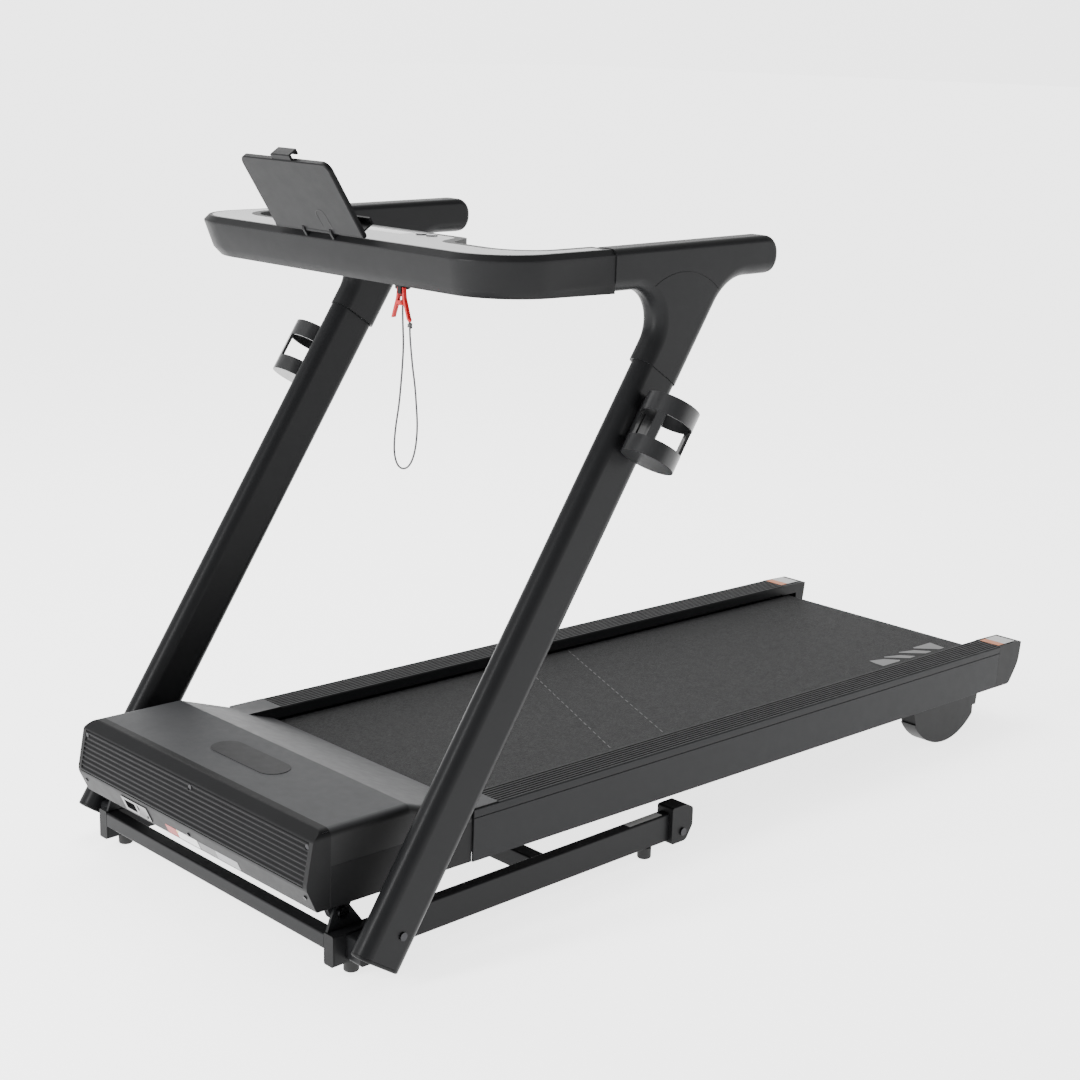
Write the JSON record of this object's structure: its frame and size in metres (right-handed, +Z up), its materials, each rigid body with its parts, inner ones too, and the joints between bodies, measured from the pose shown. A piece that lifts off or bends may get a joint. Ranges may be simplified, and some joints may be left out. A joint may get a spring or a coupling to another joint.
{
  "type": "treadmill",
  "caption": "Folding treadmill: running belt deck with motor hood hinged to a low base frame, raked uprights, handles, U-shaped console, tablet and cup holders.",
  "frame": {"origin": "on the floor under the centre of the machine's bounding box", "axes": "+Z up, -Y towards the motor hood, +Y towards the step-on end, +X towards the user's left"},
  "size_m": [0.968, 1.8416, 1.1829],
  "materials": {
    "frame_paint": "satin black powder coat",
    "rail_metal": "dark grey satin",
    "bright_steel": "brushed",
    "black_zinc": "black zinc plating",
    "gloss_black": "gloss black",
    "shell_plastic": "fine textured charcoal",
    "hood_plastic": "satin dark grey",
    "grip_plastic": "satin",
    "gloss_panel": "gloss",
    "smoke_window": "gloss",
    "button_plastic": "satin",
    "circuit": "matt",
    "pad_rubber": "matt",
    "wheel_plastic": "satin",
    "belt_rubber": "fine diamond texture",
    "board_wood": "laminated",
    "badge_plastic": "gloss",
    "motor_paint": "satin",
    "heat_sink": "bead blasted",
    "switch_plastic": "gloss",
    "clip_plastic": "gloss red",
    "cord_fabric": "braided"
  },
  "bodies": {
    "base": {"base_tube_left": "frame_paint", "base_tube_right": "frame_paint", "cross_tubes": "frame_paint", "frame_brackets": "frame_paint", "frame_bolts": "black_zinc", "end_plugs": "shell_plastic", "foot_pads": "pad_rubber", "wheel_housings": "shell_plastic", "upright_left": "frame_paint", "upright_right": "frame_paint", "handle_left": "grip_plastic", "handle_right": "grip_plastic", "sleeve_left": "grip_plastic", "sleeve_right": "grip_plastic", "console_housing": "shell_plastic", "console_cover": "shell_plastic", "control_panel": "gloss_panel", "display_window": "smoke_window", "display_board": "circuit", "tablet_bracket": "shell_plastic", "cup_holder_left": "gloss_black", "cup_holder_right": "gloss_black"},
    "wheel_left": {"transport_wheel_left": "wheel_plastic"},
    "wheel_right": {"transport_wheel_right": "wheel_plastic"},
    "start_key": {"start_button": "button_plastic"},
    "stop_key": {"stop_button": "button_plastic"},
    "speed_up_key": {"speed_up_button": "button_plastic"},
    "speed_down_key": {"speed_down_button": "button_plastic"},
    "tablet_holder": {"tablet_plate": "shell_plastic"},
    "tablet_hook": {"tablet_clip": "shell_plastic"},
    "deck": {"foot_rail_left": "rail_metal", "foot_rail_right": "rail_metal", "rail_end_caps": "shell_plastic", "deck_frame": "frame_paint", "hinge_ears": "frame_paint", "deck_board": "board_wood", "deck_cushions": "pad_rubber", "running_belt": "belt_rubber", "roller_shafts": "bright_steel", "rear_feet": "shell_plastic", "hood_cover": "hood_plastic", "hood_badge": "badge_plastic", "front_panel": "shell_plastic", "hood_screws": "black_zinc", "bottom_pan": "shell_plastic", "motor": "motor_paint", "drive_belt": "belt_rubber", "motor_controller": "heat_sink", "power_inlet": "switch_plastic"},
    "front_drum": {"front_roller": "bright_steel"},
    "rear_drum": {"rear_roller": "bright_steel"},
    "motor_rotor": {"motor_pulley": "bright_steel"},
    "rocker": {"power_switch": "switch_plastic"},
    "key": {"safety_key": "shell_plastic", "safety_cord": "cord_fabric", "clip_body": "clip_plastic"},
    "jaw": {"clip_jaw": "clip_plastic"}
  },
  "joints": [
    {"name": "deck_fold", "type": "hinge", "parent": "base", "child": "deck", "pos_m": [0, -0.85, 0.096], "axis": [1, 0, 0], "range_deg": [0, 57]},
    {"name": "front_drum_spin", "type": "hinge", "parent": "deck", "child": "front_drum", "pos_m": [0, -0.6408, 0.14521], "axis": [1, 0, 0], "continuous": true},
    {"name": "rear_drum_spin", "type": "hinge", "parent": "deck", "child": "rear_drum", "pos_m": [0, 0.85696, 0.11829], "axis": [1, 0, 0], "continuous": true},
    {"name": "motor_spin", "type": "hinge", "parent": "deck", "child": "motor_rotor", "pos_m": [-0.2, -0.77545, 0.16564], "axis": [1, 0, 0], "continuous": true},
    {"name": "wheel_left_spin", "type": "hinge", "parent": "base", "child": "wheel_left", "pos_m": [0.31, -0.127, 0.033], "axis": [1, 0, 0], "continuous": true},
    {"name": "wheel_right_spin", "type": "hinge", "parent": "base", "child": "wheel_right", "pos_m": [-0.31, -0.127, 0.033], "axis": [1, 0, 0], "continuous": true},
    {"name": "start_press", "type": "slide", "parent": "base", "child": "start_key", "axis": [0, 0, -1], "range_m": [0, 0.0015], "stiffness_N_per_m": 500, "springref_m": -0.0005},
    {"name": "stop_press", "type": "slide", "parent": "base", "child": "stop_key", "axis": [0, 0, -1], "range_m": [0, 0.0015], "stiffness_N_per_m": 500, "springref_m": -0.0005},
    {"name": "speed_up_press", "type": "slide", "parent": "base", "child": "speed_up_key", "axis": [0, 0, -1], "range_m": [0, 0.0015], "stiffness_N_per_m": 500, "springref_m": -0.0005},
    {"name": "speed_down_press", "type": "slide", "parent": "base", "child": "speed_down_key", "axis": [0, 0, -1], "range_m": [0, 0.0015], "stiffness_N_per_m": 500, "springref_m": -0.0005},
    {"name": "tablet_tilt", "type": "hinge", "parent": "base", "child": "tablet_holder", "pos_m": [-0.01, -0.64928, 1.05849], "axis": [1, 0, 0], "range_deg": [-20, 30]},
    {"name": "tablet_hook_slide", "type": "slide", "parent": "tablet_holder", "child": "tablet_hook", "axis": [0, -0.5446, 0.8387], "range_m": [0, 0.025], "stiffness_N_per_m": 120, "springref_m": -0.02},
    {"name": "power_rock", "type": "hinge", "parent": "deck", "child": "rocker", "pos_m": [-0.131, -0.90885, 0.13384], "axis": [1, 0, 0], "range_deg": [0, 16]},
    {"name": "key_pull", "type": "slide", "parent": "base", "child": "key", "axis": [0, 0, -1], "range_m": [0, 0.025]},
    {"name": "clip_open", "type": "hinge", "parent": "key", "child": "jaw", "pos_m": [0.15, -0.619, 0.962], "axis": [0, -1, 0], "range_deg": [0, 20], "stiffness_Nm_per_rad": 0.05, "springref_deg": -17.19}
  ],
  "couplings": [
    {"joint": "rear_drum_spin", "follows": "front_drum_spin", "ratio": 1},
    {"joint": "motor_spin", "follows": "front_drum_spin", "ratio": 2}
  ]
}
